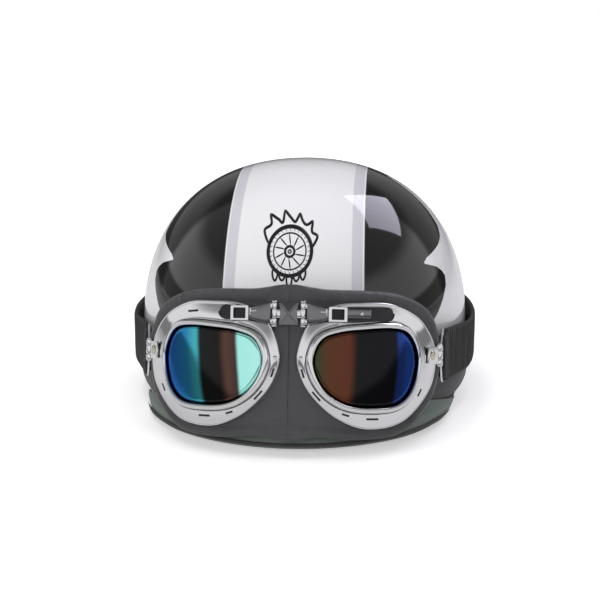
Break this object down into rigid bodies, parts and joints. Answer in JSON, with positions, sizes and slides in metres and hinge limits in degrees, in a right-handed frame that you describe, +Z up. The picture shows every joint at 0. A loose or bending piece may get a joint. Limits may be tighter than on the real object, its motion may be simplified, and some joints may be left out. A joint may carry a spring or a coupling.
{
  "type": "half-shell motorcycle helmet with goggles",
  "caption": "Open half-shell motorcycle helmet with padded peak, leatherette rim, chin strap and split-lens chrome goggles on an elastic strap held by a rear snap tab.",
  "frame": {"origin": "on the floor under the middle of the whole object's box, where the edge bead stands", "axes": "-Y is the front the wearer faces, +X is the wearer's left, +Z is up"},
  "size_m": [0.2624, 0.3302, 0.1759],
  "materials": {
    "shell_paint": "glossy painted ABS, white with black side panels and silver edge bands",
    "foam": "moulded expanded polystyrene foam",
    "lining": "brushed nylon over foam",
    "leatherette": "smooth dark grey leatherette with a satin sheen",
    "edge_rubber": "matte extruded bead",
    "chrome": "bright chrome plate on stamped brass",
    "elastic": "gathered black elastic",
    "webbing": "black woven webbing",
    "steel": "zinc-plated pressed steel",
    "buckle_plastic": "moulded nylon",
    "lens_mirror": "iridescent mirror coat over a dark lens, blue to teal, brown and green",
    "gasket_rubber": "soft black gasket",
    "recess_plastic": "satin black inlay"
  },
  "bodies": {
    "helmet": {"outer_shell": "shell_paint", "impact_liner": "foam", "crown_pad": "lining", "brow_pad": "lining", "left_side_pad": "lining", "right_side_pad": "lining", "nape_pad": "lining", "edge_bead": "edge_rubber", "rim_band": "leatherette", "peak": "leatherette", "peak_piping": "leatherette", "left_hanger": "steel", "right_hanger": "steel", "hanger_rivets": "steel", "keeper_patch": "leatherette", "snap_stud": "chrome", "rear_strap": "elastic"},
    "goggles": {"bridge_link": "chrome", "bridge_pins": "chrome", "nose_pad": "leatherette", "left_strap_front": "elastic", "right_strap_front": "elastic"},
    "left_eyecup": {"left_frame": "chrome", "left_lens_ring": "chrome", "left_lens": "lens_mirror", "left_gasket": "gasket_rubber", "left_cushion": "leatherette", "left_vent_insert": "recess_plastic", "left_hinge_arm": "chrome", "left_side_plate": "chrome", "left_plate_rivet": "chrome", "left_bail_pin": "chrome", "left_nose_stud": "chrome"},
    "right_eyecup": {"right_frame": "chrome", "right_lens_ring": "chrome", "right_lens": "lens_mirror", "right_gasket": "gasket_rubber", "right_cushion": "leatherette", "right_vent_insert": "recess_plastic", "right_hinge_arm": "chrome", "right_side_plate": "chrome", "right_plate_rivet": "chrome", "right_bail_pin": "chrome", "right_nose_stud": "chrome"},
    "left_bail": {"left_bail": "chrome"},
    "right_bail": {"right_bail": "chrome"},
    "keeper_tab": {"keeper_tab": "leatherette", "snap_cap": "chrome"},
    "chin_strap": {"left_webbing": "webbing", "right_webbing": "webbing", "strap_eyelets": "steel", "ratchet_strip": "buckle_plastic", "buckle_body": "steel", "buckle_pin": "steel"},
    "buckle_lever": {"buckle_lever": "buckle_plastic"},
    "left_slider": {"left_slider": "recess_plastic"},
    "right_slider": {"right_slider": "recess_plastic"}
  },
  "joints": [
    {"name": "goggles_swing", "type": "hinge", "parent": "helmet", "child": "goggles", "pos_m": [0, 0.04093, 0.043], "axis": [-1, 0, 0], "range_deg": [0, 20], "deforming": ["left_strap_front", "right_strap_front"]},
    {"name": "left_eyecup_hinge", "type": "hinge", "parent": "goggles", "child": "left_eyecup", "pos_m": [0.0095, -0.14734, 0.095], "axis": [0, -0.2756, -0.9613], "range_deg": [0, 10]},
    {"name": "right_eyecup_hinge", "type": "hinge", "parent": "goggles", "child": "right_eyecup", "pos_m": [-0.0095, -0.14734, 0.095], "axis": [0, 0.2756, 0.9613], "range_deg": [0, 10]},
    {"name": "left_bail_hinge", "type": "hinge", "parent": "left_eyecup", "child": "left_bail", "pos_m": [0.10159, -0.10778, 0.05713], "axis": [0, -0.2756, -0.9613], "range_deg": [0, 12]},
    {"name": "right_bail_hinge", "type": "hinge", "parent": "right_eyecup", "child": "right_bail", "pos_m": [-0.10159, -0.10778, 0.05713], "axis": [0, 0.2756, 0.9613], "range_deg": [0, 12]},
    {"name": "keeper_tab_flap", "type": "hinge", "parent": "helmet", "child": "keeper_tab", "pos_m": [0, 0.16181, 0.0745], "axis": [1, 0, 0], "range_deg": [0, 110]},
    {"name": "chin_strap_swing", "type": "hinge", "parent": "helmet", "child": "chin_strap", "pos_m": [0, -0.00084, 0.014], "axis": [-1, 0, 0], "range_deg": [-30, 95]},
    {"name": "buckle_lever_lift", "type": "hinge", "parent": "chin_strap", "child": "buckle_lever", "pos_m": [0.014, 0.08916, 0.0112], "axis": [0, 0, -1], "range_deg": [0, 35], "stiffness_Nm_per_rad": 0.05, "springref_deg": -11.46},
    {"name": "left_slider_slide", "type": "slide", "parent": "helmet", "child": "left_slider", "axis": [-0.4986, 0.8668, 0], "range_m": [-0.006, 0.006]},
    {"name": "right_slider_slide", "type": "slide", "parent": "helmet", "child": "right_slider", "axis": [0.4986, 0.8668, 0], "range_m": [-0.006, 0.006]}
  ]
}
